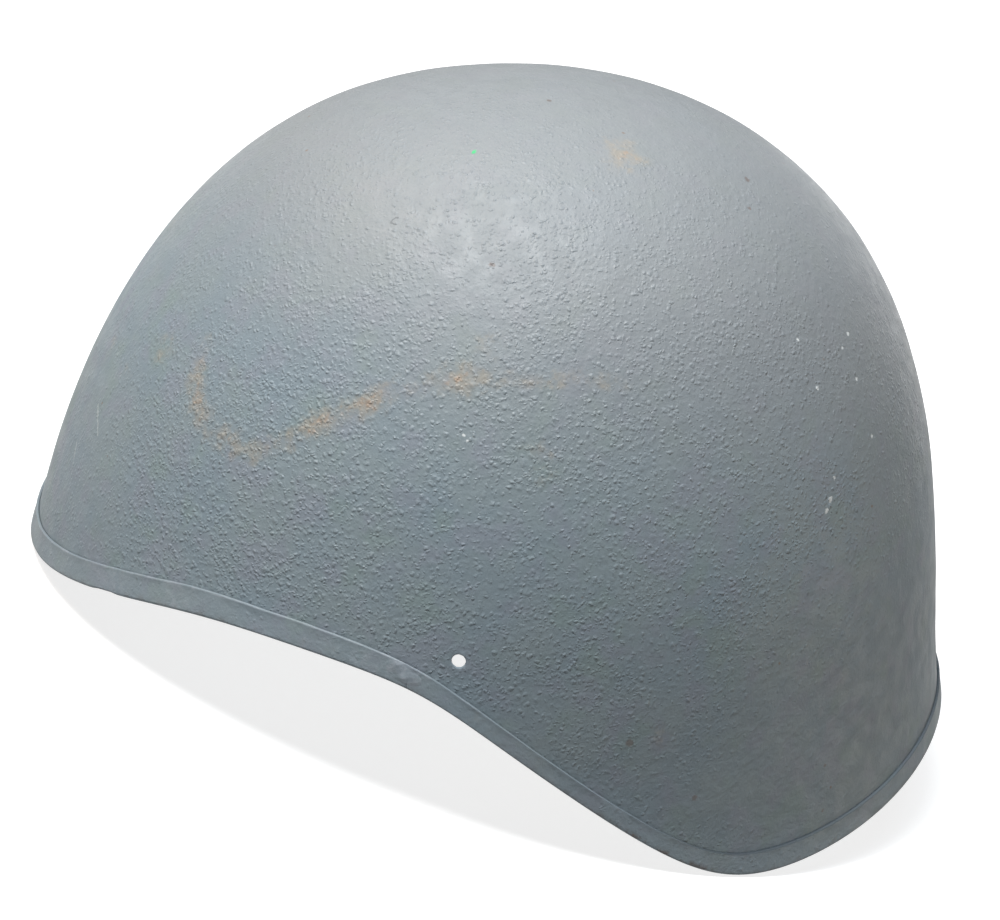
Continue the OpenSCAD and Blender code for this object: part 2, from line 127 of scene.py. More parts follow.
def noise(p, size, seed=0):
    """Smooth value noise from -1 to 1 on points in millimetres."""
    q = np.asarray(p, float) / size + seed * 7.31
    i = np.floor(q).astype(np.int64)
    f = q - i
    f = f * f * (3 - 2 * f)
    total = 0
    for corner in np.ndindex(2, 2, 2):
        x, y, z = (i[..., k] + corner[k] for k in range(3))
        u, v, w = (f[..., k] if corner[k] else 1 - f[..., k] for k in range(3))
        h = x * 73856093 ^ y * 19349663 ^ z * 83492791 ^ seed
        total = total + u * v * w * TABLE[h & 8191]
    return total


# ---------------- meshes
def make(name, verts, faces, materials, body, slot, node=None, material_of=0, **attributes):
    """A closed mesh, smooth shaded, faces to the outside, with what its paint needs at each point."""
    me = bpy.data.meshes.new(name)
    me.from_pydata([tuple(v) for v in verts], [], [tuple(map(int, f)) for f in faces])
    me.validate()
    for m in materials:
        me.materials.append(m)
    me.polygons.foreach_set("material_index", np.zeros(len(faces), np.int32) + material_of)
    me.polygons.foreach_set("use_smooth", [True] * len(faces))
    bm = bmesh.new()
    bm.from_mesh(me)
    bmesh.ops.recalc_face_normals(bm, faces=bm.faces)
    bm.to_mesh(me)
    bm.free()
    for key, values in attributes.items():
        a = me.attributes.new(key, "FLOAT", "POINT")
        a.data.foreach_set("value", np.zeros(len(verts), np.float32) + np.ravel(values))
    return placed(name, me, body, node)


def placed(name, me, body, node):
    o = bpy.data.objects.new(name, me)
    scene.collection.objects.link(o)
    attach(o, body)
    if node:
        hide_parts(node)
    return o


def grid_faces(n, m, closed=False, flip=False, base=0):
    """Quads of a grid of n rings with m points each."""
    i = np.arange(n if closed else n - 1)[:, None]
    j = np.arange(m - 1)[None, :]
    a = i * m + j
    b = ((i + 1) % n) * m + j
    q = np.stack([a, b, b + 1, a + 1] if flip else [a, a + 1, b + 1, b], -1).reshape(-1, 4)
    return (q + base).tolist()


def band(a, b):
    """Quads between two closed rings of vertex numbers."""
    n = len(a)
    return [[a[q], a[(q + 1) % n], b[(q + 1) % n], b[q]] for q in range(n)]


def stacked(rings):
    """Quads between each closed ring and the next."""
    return [q for a, b in zip(rings, rings[1:]) for q in band(a, b)]


def outline(i0, i1, j0, j1):
    """Index pairs once round a box of grid cells."""
    return [(i, j0) for i in range(i0, i1)] + [(i1, j) for j in range(j0, j1)] \
        + [(i, j1) for i in range(i1, i0, -1)] + [(i0, j) for j in range(j1, j0, -1)]


# ---------------- node helpers
class Tree:
    """Short names for building a material's nodes. Sizes are in millimetres."""

    def __init__(self, name):
        self.mat = bpy.data.materials.new(name)
        self.mat.use_nodes = True
        self.t = self.mat.node_tree
        self.bsdf = self.t.nodes["Principled BSDF"]
        self.out = self.t.nodes["Material Output"]
        self.obj = self.node("TexCoord").outputs["Object"]

    def node(self, kind, **props):
        n = self.t.nodes.new("ShaderNode" + kind)
        for k, v in props.items():
            setattr(n, k, v)
        return n

    def put(self, socket, value):
        if isinstance(value, bpy.types.NodeSocket):
            self.t.links.new(value, socket)
        elif value is not None:
            socket.default_value = (*value, 1) if socket.type == "RGBA" else value

    def fill(self, n, **values):
        """The node's outputs, once its named inputs have taken the values."""
        for key, value in values.items():
            self.put(n.inputs[key.replace("_", " ")], value)
        return n.outputs

    def fed(self, kind, *values, **props):
        """The output of a new node whose first inputs take the values."""
        n = self.node(kind, **props)
        for socket, value in zip(n.inputs, values):
            self.put(socket, value)
        return n.outputs[0]

    def math(self, op, *values):
        return self.fed("Math", *values, operation=op)

    def mul(self, a, b):
        return self.math("MULTIPLY", a, b)

    def line(self, x, slope, start):
        return self.math("MULTIPLY_ADD", x, slope, start)

    def vec(self, op, a, b=None):
        n = self.node("VectorMath", operation=op)
        self.put(n.inputs[0], a)
        self.put(n.inputs["Scale"] if op == "SCALE" else n.inputs[1], b)
        return n.outputs["Value"] if op in ("DISTANCE", "DOT_PRODUCT", "LENGTH") else n.outputs["Vector"]

    def noise(self, size, detail=3.0, rough=0.5, out="Fac", at=None):
        n = self.node("TexNoise")
        return self.fill(n, Vector=at or self.obj, Scale=1000.0 / size, Detail=detail, Roughness=rough)[out]

    def warped(self, at, size, detail, reach):
        """The places at, pushed about by noise of that size."""
        push = self.vec("SUBTRACT", self.noise(size, detail, out="Color"), (0.5, 0.5, 0.5))
        return self.vec("ADD", at, self.vec("SCALE", push, reach / 1000))

    def cells(self, size, at=None):
        """Distance to the nearest cell's centre, in cells, and two random numbers of that cell."""
        cell = self.fill(self.node("TexVoronoi"), Vector=at or self.obj, Scale=1000.0 / size)
        pick = self.fill(self.node("SeparateColor"), Color=cell["Color"])
        return cell["Distance"], pick[0], pick[1]

    def ramp(self, x, lo, hi, a=0.0, b=1.0):
        n = self.node("MapRange", interpolation_type="SMOOTHSTEP")
        return self.fill(n, Value=x, From_Min=lo, From_Max=hi, To_Min=a, To_Max=b)["Result"]

    def patches(self, size, detail, rough, lo, hi, a=0.0, b=1.0):
        """Noise whose values from lo to hi are stretched over a to b."""
        return self.ramp(self.noise(size, detail, rough), lo, hi, a, b)

    def highest(self, values):
        top = values[0]
        for v in values[1:]:
            top = self.math("MAXIMUM", top, v)
        return top

    def mix(self, fac, a, b):
        n = self.node("Mix", data_type="RGBA")
        for i, value in ((0, fac), (6, a), (7, b)):
            self.put(n.inputs[i], value)
        return n.outputs[2]

    def over(self, base, *layers):
        """Colours laid over the base, each where its cover says, to its share."""
        for colour, cover, share in layers:
            base = self.mix(self.mul(cover, share), base, colour)
        return base

    def attr(self, name):
        return self.node("Attribute", attribute_name=name).outputs["Fac"]

    def bump(self, height, distance, strength=1.0, under=None):
        n, deep = self.node("Bump"), distance / 1000.0
        return self.fill(n, Strength=strength, Distance=deep, Height=height, Normal=under)["Normal"]

    def done(self, colour, roughness, normal=None, metallic=0.0):
        self.fill(self.bsdf, Base_Color=colour, Roughness=roughness, Normal=normal, Metallic=metallic)
        return self.mat


def srgb(r, g, b):
    """A colour as the render shows it, 0 to 255, as the linear values that nodes take."""
    return tuple(c / 12.92 if c <= 0.04045 else ((c + 0.055) / 1.055) ** 2.4
                 for c in (r / 255, g / 255, b / 255))


# ---------------- paint
# Small marks of the photo's side, and some like them elsewhere: t, z, radius in mm
WHITE_FLECKS = [
    (138.2, 79.2, 0.55), (149, 73.4, 0.8), (146.2, 71, 0.6), (146.5, 60.7, 0.6), (138, 64.6, 0.7),
    (145.8, 42.7, 0.7), (136.2, 37.5, 0.7), (134.8, 31.6, 0.9), (133.8, 28.9, 0.8), (88.2, 73.4, 0.5),
    (88.6, 71.9, 0.6), (-52, 61, 0.8), (-120, 88, 0.7), (-134, 12, 0.8)]
BROWN_SPOTS = [
    (154, 119.2, 1.2), (147, 113.7, 0.9), (104, -24.4, 1.5), (111.5, -48.9, 1.1), (130.5, -56, 0.7),
    (129.8, -71.9, 0.7), (139.8, 146.2, 0.9), (94.8, 115.2, 1.0), (-70, 40, 1.3), (-140, 100, 1.1)]
GREEN_SPOT = [(96, 140, 0.9)]
SPOTS = [(WHITE_FLECKS, srgb(226, 229, 229), 0.9), (BROWN_SPOTS, srgb(104, 84, 74), 0.55),
         (GREEN_SPOT, srgb(60, 190, 120), 0.9)]
CHIP, CHIP_R, CHIP_GREY = (76.5, 126.2), 0.0012, srgb(96, 100, 104)
# Pale scratches: both ends as t and z, and the half width in mm
SCRATCHES = [((21.5, 65), (25.5, 58), 0.5), ((18.2, 52), (20.0, 46), 0.3), ((-44, 96), (-50, 84), 0.4)]
SCRATCH_GREY = srgb(190, 196, 198)

# The haze grey and how it drifts and gets rubbed; the paler greys also serve as a painted highlight toward
# the crown and as painted light on the edging strip
BLUISH, PALE = srgb(131, 145, 154), srgb(136, 148, 153)
PURPLISH, GREENISH = srgb(137, 143, 155), srgb(131, 147, 146)
CROWN_HIGHLIGHT_GREY, RUBBED_AND_LIT_GREY = srgb(142, 144, 146), srgb(150, 160, 167)
GRIME, WORN_AND_HIGHLIGHT_GREY = srgb(112, 122, 129), srgb(168, 174, 182)
CEMENT, SCUFF, LEDGE_DIRT_AND_SHADE = srgb(128, 104, 66), srgb(96, 92, 88), srgb(44, 50, 55)
RUST_HALO, RUST_CORE = srgb(163, 151, 134), srgb(178, 145, 118)
RUST_DOT, RUST_EDGE = srgb(128, 100, 78), srgb(92, 74, 60)
# Grains of three sizes: cell size in mm, share of the cells, height
GRAINS = [(1.85, 1.35, 1.0), (1.25, 1.2, 0.65), (2.9, 0.6, 1.15)]


def spot(t, z):
    return tuple(rest(outer(t, z)))


def grains(T):
    """Height of the grit: dense soft grains, each size present in its own share of the cells."""
    at = T.warped(T.warped(T.obj, 3.0, 1, 1.6), 1.1, 1, 0.9)
    density = T.mul(T.attr("grit"), T.line(T.patches(21, 3, 0.55, 0.36, 0.64), 0.4, 0.6))
    heights = []
    for size, cover, tall in GRAINS:
        away, chance, girth = T.cells(size, at)
        few = T.line(density, -cover, 1.0)
        there = T.ramp(chance, few, T.math("ADD", few, 0.8))
        blob = T.ramp(T.math("DIVIDE", away, T.line(girth, 0.2, 0.42)), 1.0, 0.0)
        heights.append(T.mul(T.mul(blob, there), tall))
    height = T.mul(T.highest(heights), T.line(T.noise(1.0, 2), 0.5, 0.7))
    return T.mul(height, T.line(T.attr("grit"), 0.6, 0.4))


def rusted(T, base):
    """Rust that bleeds through, as a stain with a core, and as scattered dots."""
    rust = T.attr("rust")
    bleed = T.mul(T.math("SUBTRACT", T.noise(4.0, 5, 0.66), 0.5), 2.3)
    stain = T.ramp(T.math("ADD", rust, bleed), 0.05, 0.85)
    stain = T.mul(stain, T.ramp(rust, 0.02, 0.22))
    stain = T.mul(stain, T.patches(7, 3, 0.5, 0.38, 0.58, 0.35, 1.0))
    base = T.over(base, (RUST_HALO, stain, 0.52))
    core = T.ramp(T.math("ADD", T.mul(rust, 0.45), T.mul(T.noise(1.9, 3, 0.6), 0.9)), 0.74, 1.0)
    base = T.over(base, (RUST_CORE, T.mul(core, stain), 0.52))
    away, chance, _ = T.cells(5.5, T.warped(T.obj, 2.6, 2, 1.1))
    few = T.math("LESS_THAN", chance, T.line(rust, 0.3, 0.03))
    return T.over(base, (RUST_DOT, T.mul(few, T.ramp(away, 0.13, 0.05)), 0.6))


def marked(T, base):
    """The flecks, spots, chip and scratches of the photo's side."""
    at = T.warped(T.obj, 1.4, 2, 1.6)
    for group, colour, share in SPOTS:
        dots = [T.ramp(T.vec("DISTANCE", at, spot(t, z)), r * 0.00115, r * 0.0005) for t, z, r in group]
        base = T.over(base, (colour, T.highest(dots), share))
    away = T.vec("SUBTRACT", at, spot(*CHIP))
    edge = T.math("ABSOLUTE", T.math("SUBTRACT", T.vec("LENGTH", away), CHIP_R))
    open_side = T.math("GREATER_THAN", T.vec("DOT_PRODUCT", away, (0, -1, 0.4)), -0.0004)
    base = T.over(base, (CHIP_GREY, T.mul(T.ramp(edge, 0.0004, 0.00015), open_side), 0.7))
    for first, last, wide in SCRATCHES:
        a, b = np.array(spot(*first)), np.array(spot(*last))
        run = T.vec("DOT_PRODUCT", T.vec("SUBTRACT", at, tuple(a)), tuple((b - a) / ((b - a) @ (b - a))))
        run = T.math("MINIMUM", T.math("MAXIMUM", run, 0.0), 1.0)
        foot = T.vec("ADD", T.vec("SCALE", tuple(b - a), run), tuple(a))
        line = T.ramp(T.vec("DISTANCE", at, foot), wide / 1000, wide / 3000)
        base = T.over(base, (SCRATCH_GREY, line, 0.6))
    return base


def paint(name, grit=1.0, marks=False, inside=False, strip=False):
    """Blue-grey satin paint over gritty steel."""
    T = Tree(name)
    height = grains(T)
    low = T.bump(T.noise(3.6, 3, 0.55), 0.3, 0.8)
    fine = T.bump(T.noise(1.5, 4, 0.6), 0.2 if strip else 0.16, 0.8, low)
    bumped = T.bump(height, 0.25 * grit, 1.0, fine)
    base = T.mix(T.patches(34, 3, 0.6, 0.35, 0.65), BLUISH, PALE)
    base = T.over(
        base, (PURPLISH, T.patches(11, 3, 0.5, 0.48, 0.68), 0.6),
        (GREENISH, T.patches(14, 4, 0.5, 0.52, 0.70), 0.6))
    # Toward the crown the grey turns warmer and more neutral: a painted highlight, the paler look of the lit
    # top
    height_up = T.fill(T.node("SeparateXYZ"), Vector=T.obj)["Z"]
    base = T.mix(T.ramp(height_up, 0.095, 0.166, 0.0, 0.78), base, CROWN_HIGHLIGHT_GREY)
    base = T.over(
        base, (RUBBED_AND_LIT_GREY, height, 0.22),
        (GRIME, T.patches(0.9, 3, 0.5, 0.45, 0.8), 0.22))
    rough = T.patches(6, 4, 0.5, 0.3, 0.7, 0.50, 0.62)
    if inside:
        glue = T.mul(T.attr("glue"), T.patches(5, 4, 0.6, 0.35, 0.55))
        base = T.over(
            base, (CEMENT, glue, 0.8),
            (SCUFF, T.patches(3.2, 5, 0.7, 0.60, 0.68), 0.5))
        rough = T.math("ADD", rough, 0.08)
    base = rusted(T, base)
    if marks:
        base = marked(T, base)
    if strip:
        # The strip's paint is lightened a fifth toward the rubbed grey: painted light, so that the strip's
        # face, turned a little down, reads as light as the shell
        base = T.mix(0.2, base, RUBBED_AND_LIT_GREY)
        base = T.over(
            # Worn paint, and a painted highlight along the ridge
            base, (WORN_AND_HIGHLIGHT_GREY, T.mul(T.attr("wear"), T.patches(3.0, 4, 0.65, 0.42, 0.62)), 0.6),
            # Dirt and painted shade in the corner over the ledge
            (LEDGE_DIRT_AND_SHADE, T.attr("seam"), 0.9),
            (RUST_EDGE, T.mul(T.attr("low"), T.patches(5.0, 5, 0.7, 0.48, 0.62)), 0.7))
    return T.done(base, rough, bumped)


OUTSIDE = paint("haze_paint_outside", marks=True)
INSIDE = paint("haze_paint_inside", grit=0.6, inside=True)
STRIP = paint("haze_paint_strip", grit=0.8, strip=True)

# ---------------- steel shell
RUST_LINE = [  # t, z, half width mm, strength
    (44.5, 95, 3.5, 0.25), (45, 87, 3.5, 0.5), (46, 80.5, 4.5, 1.0), (48.5, 74.5, 5, 0.75),
    (52, 70.5, 5, 0.6), (55.5, 69.5, 5.5, 0.6), (58.8, 66.6, 4, 0.55), (62.5, 70, 4, 0.5),
    (66, 74, 4.5, 0.6), (69, 77, 5, 1.0), (72.2, 80, 4.5, 0.8), (75.8, 82.8, 5, 1.0), (78.2, 85.3, 4, 0.5),
    (80, 87, 4, 0.35), (84, 87.3, 4, 0.35), (87.5, 87.8, 5, 0.9), (89.8, 88.2, 5, 0.8),
    (92.2, 87.2, 3.5, 0.55), (99, 86, 3, 0.45), (103.5, 84.8, 3, 0.5), (106.8, 83.4, 3, 0.4),
    (111.8, 80.3, 2.5, 0.15)]
RUST_SPOTS = [  # t, z, width mm, strength
    (35.2, 87.6, 5, 0.45), (27.5, 78.7, 5, 0.3), (92, 95, 6, 0.3), (133, 134, 7, 0.75),
    (97.2, 64.4, 6, 0.4), (15.8, 81.6, 5, 0.25), (108, -25, 6, 0.2), (-60, 70, 9, 0.55), (-72, 64, 7, 0.4),
    (-95, 20, 8, 0.35), (-130, 60, 10, 0.3), (180, 30, 9, 0.35), (172, -20, 8, 0.25), (-20, 60, 7, 0.3),
    (0, 110, 8, 0.2)]


def rust_at(p):
    """Strength of the rust at upright points."""
    best = np.zeros(p.shape[:-1])
    line = [(outer(t, z), w, s) for t, z, w, s in RUST_LINE]
    for (a, wa, sa), (b, wb, sb) in zip(line[:-1], line[1:]):
        ab = b - a
        k = np.clip(((p - a) @ ab) / (ab @ ab), 0, 1)
        d = np.linalg.norm(p - a - k[..., None] * ab, axis=-1)
        w = wa + (wb - wa) * k
        s = sa + (sb - sa) * k
        best = np.maximum(best, s * np.exp(-(d / (0.85 * w)) ** 2))
    for t, z, w, s in RUST_SPOTS:
        d = np.linalg.norm(p - outer(t, z), axis=-1)
        best = np.maximum(best, s * np.exp(-(d / w) ** 2))
    return best


def from_front(t):
    """Angle from the front, 0 to 180 on both sides."""
    return abs((t + 180) % 360 - 180)


def grit_at(t, z):
    """Density of the grit: thick round the middle, thin at the crown, the rear lobes and near the edge."""
    back = from_front(t)
    d = 1.0 - 0.15 * smooth(z, 95, 150) - 0.55 * smooth(-z, -25, 50) * smooth(back, 88, 122)
    d = d - 0.25 * smooth(back, 115, 150)
    d = d + (0.4 * smooth(-back, -92, -60) - 0.6 * smooth(-back, -48, -25)) * (1 - smooth(z, 80, 120))
    return d * (0.7 + 0.3 * smooth(z - rim(t), 5, 12))


def glue_at(t, z):
    """Cement that has squeezed out round the wall pads."""
    glue = np.zeros(len(t))
    for mid, span, lo, hi in PAD_PLACE.values():
        u = (((t - mid + 180) % 360) - 180) / span
        v = (z - (lo + hi) / 2) / ((hi - lo) / 2)
        glue = np.maximum(glue, smooth(-np.abs(squareness(u, v) - 1.0), -0.16, -0.02))
    return glue


def squareness(u, v):
    """Distance from the middle of a square with rounded corners, 1 at its edge."""
    return (np.abs(u) ** 4 + np.abs(v) ** 4) ** 0.25


def t_at(y, z, side):
    """Angle t on that side at which the steel has the given y, by bisection."""
    lo, hi = np.full(np.shape(y), 60.0), np.full(np.shape(y), 120.0)
    for _ in range(40):
        mid = (lo + hi) / 2
        more = outer(mid, z)[..., 1] < y
        lo, hi = np.where(more, mid, lo), np.where(more, hi, mid)
    return side * lo


# The holes' angle, the rings round them as shares of the way in, and the lip as radius and depth
HOLE_T = 85.95
HOLE_STEPS = [0.25, 0.5, 0.72, 0.88, 1.0]
HOLE_LIP = [(-0.08, 0.05), (-0.17, 0.16), (-0.2, 0.4)]


def build_shell(n=288, m=96):
    """Two skins on a grid of n angles and m heights, joined at the rim and through the holes."""
    t = np.arange(n) * 360.0 / n
    low = rim(t)[:, None]
    zs = low + (CROWN - low) * np.sin(np.pi / 2 * np.arange(m) / m)[None, :]
    ts = np.broadcast_to(t[:, None], zs.shape)
    verts, faces, mats, all_t, all_z = [], [], [], [], []

    def add(tv, zv, depth):
        base = len(verts)
        p = outer(tv, zv)
        relief = smooth(zv - rim(tv), 8, 22) * (0.16 * noise(p, 24, 1) + 0.07 * noise(p, 8, 2))
        verts.extend(under(tv, zv, depth - relief).reshape(-1, 3))
        all_t.extend(np.ravel(tv))
        all_z.extend(np.ravel(zv))
        return base

    def face(corners, keep, layer):
        faces.append(corners if keep else corners[::-1])
        mats.append(layer)

    blocks, blocked = [], np.zeros((n, m - 1), bool)
    for side in (1, -1):
        i = int(round(side * HOLE_T % 360 / (t[1] - t[0])))
        j = int(np.argmin(np.abs(zs[i % n] - HOLE_HEIGHT)))
        blocks.append((outline(i - 3, i + 3, j - 3, j + 3), side))
        for k in range(i - 3, i + 3):
            blocked[k % n, j - 3:j + 3] = True
    inner = n * m + 1
    for layer, depth in ((0, 0.0), (1, STEEL)):
        base = add(ts, zs, np.full(zs.shape, depth))
        pole = len(verts)
        verts.append((0, CROWN_SHIFT, CROWN - depth))
        all_t.append(0)
        all_z.append(CROWN)
        for i in range(n):
            a, b = base + i * m, base + (i + 1) % n * m
            for j in range(m - 1):
                if not blocked[i, j]:
                    face([a + j, b + j, b + j + 1, a + j + 1], layer == 0, layer)
            face([a + m - 1, b + m - 1, pole], layer == 0, layer)
    for i in range(n):
        a, b = i * m, (i + 1) % n * m
        face([a, inner + a, inner + b, b], True, 0)
    # The holes: rings from the block's edge in to a rounded lip on both skins, and a wall between them
    for ring, side in blocks:
        ring_t = np.array([from_front(t[i % n]) * side for i, j in ring])
        ring_z = np.array([zs[i % n, j] for i, j in ring])
        at = outer(ring_t, ring_z)
        angle = np.arctan2(at[:, 2] - HOLE_HEIGHT, at[:, 1] + HOLE_AHEAD)

        def circle(r):
            y, z = r * np.cos(angle) - HOLE_AHEAD, HOLE_HEIGHT + r * np.sin(angle)
            return t_at(y, z, side), z

        ends = []
        for layer in (0, 1):
            prev = [inner * layer + (i % n) * m + j for i, j in ring]
            ct, cz = circle(HOLE_R + 0.06)
            rows = [(ring_t + (ct - ring_t) * s, ring_z + (cz - ring_z) * s, 0.0) for s in HOLE_STEPS]
            rows += [(*circle(HOLE_R + r), depth) for r, depth in HOLE_LIP]
            for a, b, depth in rows:
                base = add(a, b, np.full(len(ring), depth if layer == 0 else STEEL - depth))
                now = list(range(base, base + len(ring)))
                for q in band(prev, now):
                    face(q, (layer == 0) == (side > 0), layer)
                prev = now
            ends.append(prev)
        for q in band(*ends):
            face(q, side > 0, 0)
    all_t, all_z = np.array(all_t), np.array(all_z)
    make("steel_shell", rest(verts), faces, [OUTSIDE, INSIDE], "helmet", "haze_paint", "shell", mats,
         grit=grit_at(all_t, all_z), rust=rust_at(outer(all_t, all_z)), glue=glue_at(all_t, all_z))


# Wall pads: middle angle, half span, lowest and highest z. Then every pad's thickness
PAD_PLACE = {"front": (0, 34, 27, 84), "rear": (180, 34, -34, 52),
             "left": (90, 24, 36, 90), "right": (-90, 24, 36, 90)}
PAD_T = {"front": 32, "rear": 32, "left": 22, "right": 22, "crown": 28.0}

build_shell()


# ---------------- edging strip
def top_shift(t):
    """Small steps of the strip's upper line: as the photograph shows on the left, others elsewhere."""
    return (0.25 * smooth(t, 46, 51.5) * (1 - smooth(t, 52, 60))
            + 0.4 * smooth(-t, 100, 104) * (1 - smooth(-t, 106, 112)))


def strip_section(t):
    """Section of the strip at angle t: its points, height over the edge, distance out from the steel."""
    low = rim(t)
    p = outer(t, low)
    uneven = 0.14 * noise(p, 17, 3) + 0.08 * noise(p, 5, 4)
    face, lump = 0.10 * noise(p, 9, 5), 0.05 * noise(p, 3.3, 12)
    nick = 0.9 * exp(-((t - 37.5) / 1.6) ** 2) + 0.5 * exp(-((t + 63) / 1.2) ** 2)
    top = STRIP_H + 0.1 + uneven + top_shift(t)
    gap = 0.35 * exp(-((from_front(t) - JOINT_T) / 0.5) ** 2)
    crest = 1.05 + 0.07 * noise(p, 3.1, 6) - gap - 0.05 * smooth(t, 96, 120)
    floor = max(-0.03, nick - 0.4)
    section = [
        # the ledge and the ridge along the strip's upper line
        (top + 0.12, 0.04), (top + 0.04, 0.4), (top - 0.06, crest - 0.16), (top - 0.26, crest),
        (top - 0.6, crest - 0.04),
        # the outer face
        (top - 1.1, 0.97 + face + lump), (top - 2.4, 0.94 + face - lump), (top - 3.6, 0.96 + face + lump),
        (top - 5.2, 0.98 + face - lump), (0.3, 0.98 + face / 2), (-0.1, 0.95),
        # the fold under the edge
        (-0.47 + nick, 0.6), (-0.66 + nick, 0.0), (-0.69 + nick, -0.7), (-0.64 + nick, -1.35),
        (-0.42 + nick, -1.95), (0.15, -2.28),
        # the inner face, and the channel that holds the steel
        (1.2, -2.34), (3.2, -2.3), (5.6, -2.32), (6.6, -2.28), (7.0, -2.0), (7.12, -1.3),
        (floor, -STEEL - 0.02), (floor, 0.02)]
    h, d = np.array(section, float).T
    return under(np.full(len(h), float(t)), low + h, -d), h, d


def build_strip(name, first, last, node):
    ts = np.arange(first, last + 0.01, 0.4)
    ts[0], ts[-1] = first + 0.02, last - 0.02
    rings, seam, wear, low = [], [], [], []
    for t in ts:
        p, h, d = strip_section(float(t))
        rings.append(p)
        back = from_front(t)
        # Dirt and painted shade in the corner over the ledge, strongest behind the ear
        dirt, clean = smooth(back, 96, 116), smooth(back, 124, 148)
        corner = np.array([1.0, 0.35 + 0.58 * dirt, 0.25 + 0.65 * dirt, 0.15 + 0.55 * dirt])
        corner = corner + (np.array([0.8, 0.75, 0.72, 0.58]) - corner) * clean
        seam.append(np.concatenate([corner, np.zeros(len(h) - 4)]))
        # A light line along the ridge's crest, worn paint with a painted highlight, gone behind the ear; and
        # patches of wear on the outer face
        line = 0.6 * (1 - smooth(back, 106, 124)) * smooth(noise(p, 12, 13), -0.8, 0.1)
        patch = 0.5 * smooth(noise(p, 16, 14), 0.35, 0.6) * (h > 0) * (d > 0)
        wear.append(np.where((d > 0.9) & (h > STRIP_H - 0.4), line, 0.0) + patch)
        rust_below = 0.35 + 0.65 * exp(-((t - 108) / 7) ** 2)
        low.append(np.where((h < 0.6) & (d > -2), rust_below, 0.0))
    n, m = len(ts), len(rings[0])
    verts = np.array(rings).reshape(-1, 3)
    faces = grid_faces(n, m)
    faces.extend([i * m + m - 1, i * m, (i + 1) * m, (i + 1) * m + m - 1] for i in range(n - 1))
    faces.append(list(range(m)))
    faces.append([(n - 1) * m + j for j in range(m)][::-1])
    o = make(name, rest(verts), faces, [STRIP], "helmet", "haze_paint", node, seam=seam, wear=wear, low=low,
             grit=0.4 + 0.35 * smooth(noise(verts, 13, 15), 0.0, 0.5),
             rust=0.25 * rust_at(verts) + 0.12 * (noise(verts, 30, 9) > 0.45))
    # The channel that holds the steel is flat, so that the faces that show keep their own shading
    smooth_face = np.ones(len(faces), bool)
    smooth_face[:(n - 1) * (m - 1)].reshape(n - 1, m - 1)[:, -2:] = False
    smooth_face[(n - 1) * (m - 1):(n - 1) * m] = False
    o.data.polygons.foreach_set("use_smooth", smooth_face)


build_strip("front_edging_strip", -JOINT_T, JOINT_T, "front_edging")
build_strip("rear_edging_strip", JOINT_T, 360 - JOINT_T, "rear_edging")

WELD_HALF_T = 2.6


def build_welds(n=30, m=18):
    """Smooth filler over the two butt joints."""
    verts, faces = [], []
    around = [i * (m + 1) + j for i, j in outline(0, n, 0, m)]
    for mid in (JOINT_T, -JOINT_T):
        sides = []
        for front in (True, False):
            base = len(verts)
            for i in range(n + 1):
                for j in range(m + 1):
                    u, v = 2 * i / n - 1, 2 * j / m - 1
                    a = mid + u * WELD_HALF_T
                    z = rim(a) + STRIP_H * (0.50 + 0.50 * v) + 0.1
                    out = 0.5
                    if front:
                        p = outer(a, z)
                        r = (abs(u) ** 2.6 + abs(v) ** 2.6) ** (1 / 2.6) + 0.25 * noise(p, 5.0, 23)
                        lump = 1.0 + 0.55 * noise(p, 3.0, 21) + 0.25 * noise(p, 1.4, 22)
                        out = 0.82 + 0.48 * max(0.0, 1 - min(1.0, r) ** 2) * lump
                    verts.append(under(a, z, -out))
            faces.extend(grid_faces(n + 1, m + 1, flip=not front, base=base))
            sides.append([base + k for k in around])
        faces.extend(band(*sides))
    make("edging_weld_fill", rest(verts), faces, [STRIP], "helmet", "haze_paint", "edging_welds",
         grit=0.35, rust=0, seam=0, wear=1, low=0)


build_welds()


# ---------------- sponge pads
BED = STEEL + 0.55
CROWN_PAD_DROP = 25.0
# Pores: cell size in mm, share of the cells, depth
PORES = [(3.1, 0.42, 1.0), (1.7, 0.62, 0.7), (0.95, 0.7, 0.4)]


def swell(r):
    """Swell of a pad's face: a full crown, drawn in at the sides."""
    return 0.4 + 0.6 * np.sqrt(1 - np.minimum(1, r) ** 4)


def sponge():
    """Aged sponge rubber: open pores of three sizes, a dusty skin and crumbled edges."""
    T = Tree("sponge_rubber_foam")
    pits = []
    for size, share, deep in PORES:
        away, chance, girth = T.cells(size)
        pit = T.ramp(T.math("DIVIDE", away, T.line(girth, 0.2, 0.2)), 1.0, 0.35)
        pits.append(T.mul(T.mul(pit, T.math("LESS_THAN", chance, share)), deep))
    pits = T.highest(pits)
    low = T.bump(T.noise(4.5, 4, 0.6), 0.9, 0.6)
    bumped = T.bump(T.math("SUBTRACT", 1.0, pits), 0.7, 0.9, low)
    edge = T.attr("edge")
    dust = T.mul(T.patches(14, 5, 0.62, 0.42, 0.66), T.line(edge, 0.4, 0.35))
    base = T.mix(T.patches(30, 3, 0.5, 0.35, 0.65), srgb(70, 66, 60), srgb(84, 78, 70))
    base = T.mix(dust, base, srgb(120, 112, 98))
    base = T.over(
        base, (srgb(138, 124, 98), T.mul(edge, T.patches(3.4, 4, 0.7, 0.52, 0.62)), 0.75),
        # Dark in the pores: painted shade in their hollows
        (srgb(34, 31, 28), pits, 0.72))
    return T.done(base, T.patches(5, 3, 0.5, 0.3, 0.7, 0.82, 0.96), bumped)


SPONGE = sponge()


def bites(p, seed, small, large):
    """Depth of what has crumbled away, in two sizes."""
    return (np.maximum(0, noise(p, 4.2, seed) - 0.35) * small
            + np.maximum(0, noise(p, 11, seed + 1) - 0.45) * large)


def finish_pad(side, verts, faces, edge):
    o = make(side + "_sponge_pad", rest(verts), faces, [SPONGE], "helmet", "sponge_rubber", side + "_pad",
             edge=edge)


